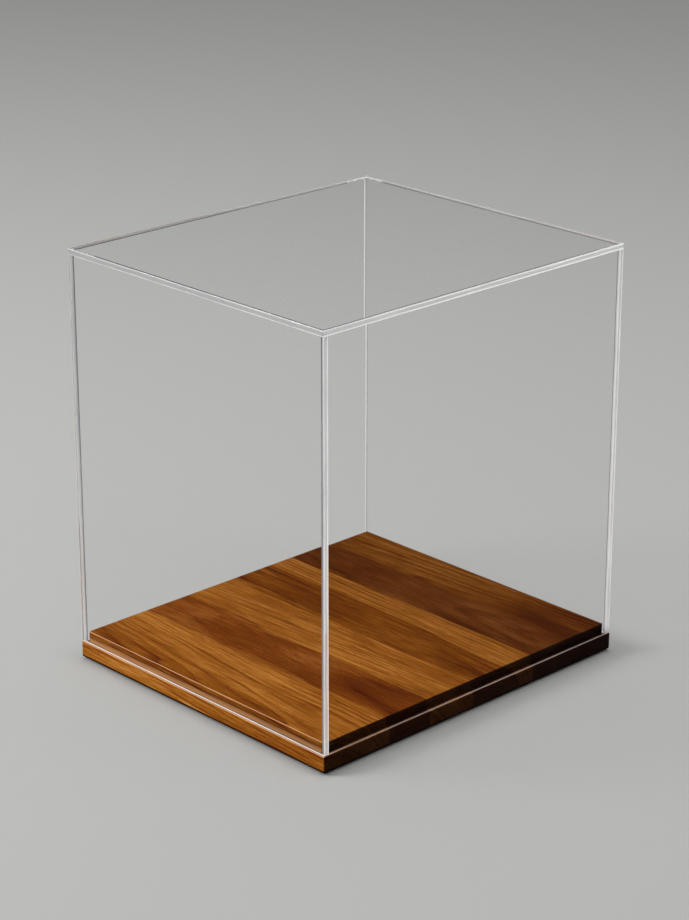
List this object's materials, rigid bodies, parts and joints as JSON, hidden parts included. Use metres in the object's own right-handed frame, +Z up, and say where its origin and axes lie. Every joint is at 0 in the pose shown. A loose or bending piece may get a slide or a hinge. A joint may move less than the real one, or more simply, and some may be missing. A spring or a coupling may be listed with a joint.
{
  "type": "display cover",
  "caption": "Clear acrylic box cover, open underneath, that lifts off a rebated wooden base board glued up from staves, to show and protect a collected object.",
  "frame": {"origin": "under the middle of the base board, on the surface that the felt pads stand on", "axes": "+Z up, the way the cover lifts; +X to the right along the staves; -Y is the front, which the widest stave lies along"},
  "size_m": [0.25, 0.28, 0.3015],
  "materials": {
    "clear_acrylic": "polished",
    "pale_wood": "satin",
    "warm_wood": "satin",
    "dark_wood": "satin",
    "grey_felt": "matte"
  },
  "bodies": {
    "base": {"base_stave_1": "pale_wood", "base_stave_2": "warm_wood", "base_stave_3": "pale_wood", "base_stave_4": "warm_wood", "base_stave_5": "dark_wood", "base_stave_6": "dark_wood", "felt_pad_front_left": "grey_felt", "felt_pad_front_right": "grey_felt", "felt_pad_rear_left": "grey_felt", "felt_pad_rear_right": "grey_felt"},
    "cover": {"top_panel": "clear_acrylic", "front_panel": "clear_acrylic", "back_panel": "clear_acrylic", "left_panel": "clear_acrylic", "right_panel": "clear_acrylic"}
  },
  "joints": [
    {"name": "cover_lift", "type": "slide", "parent": "base", "child": "cover", "axis": [0, 0, 1], "range_m": [0, 0.3]}
  ]
}
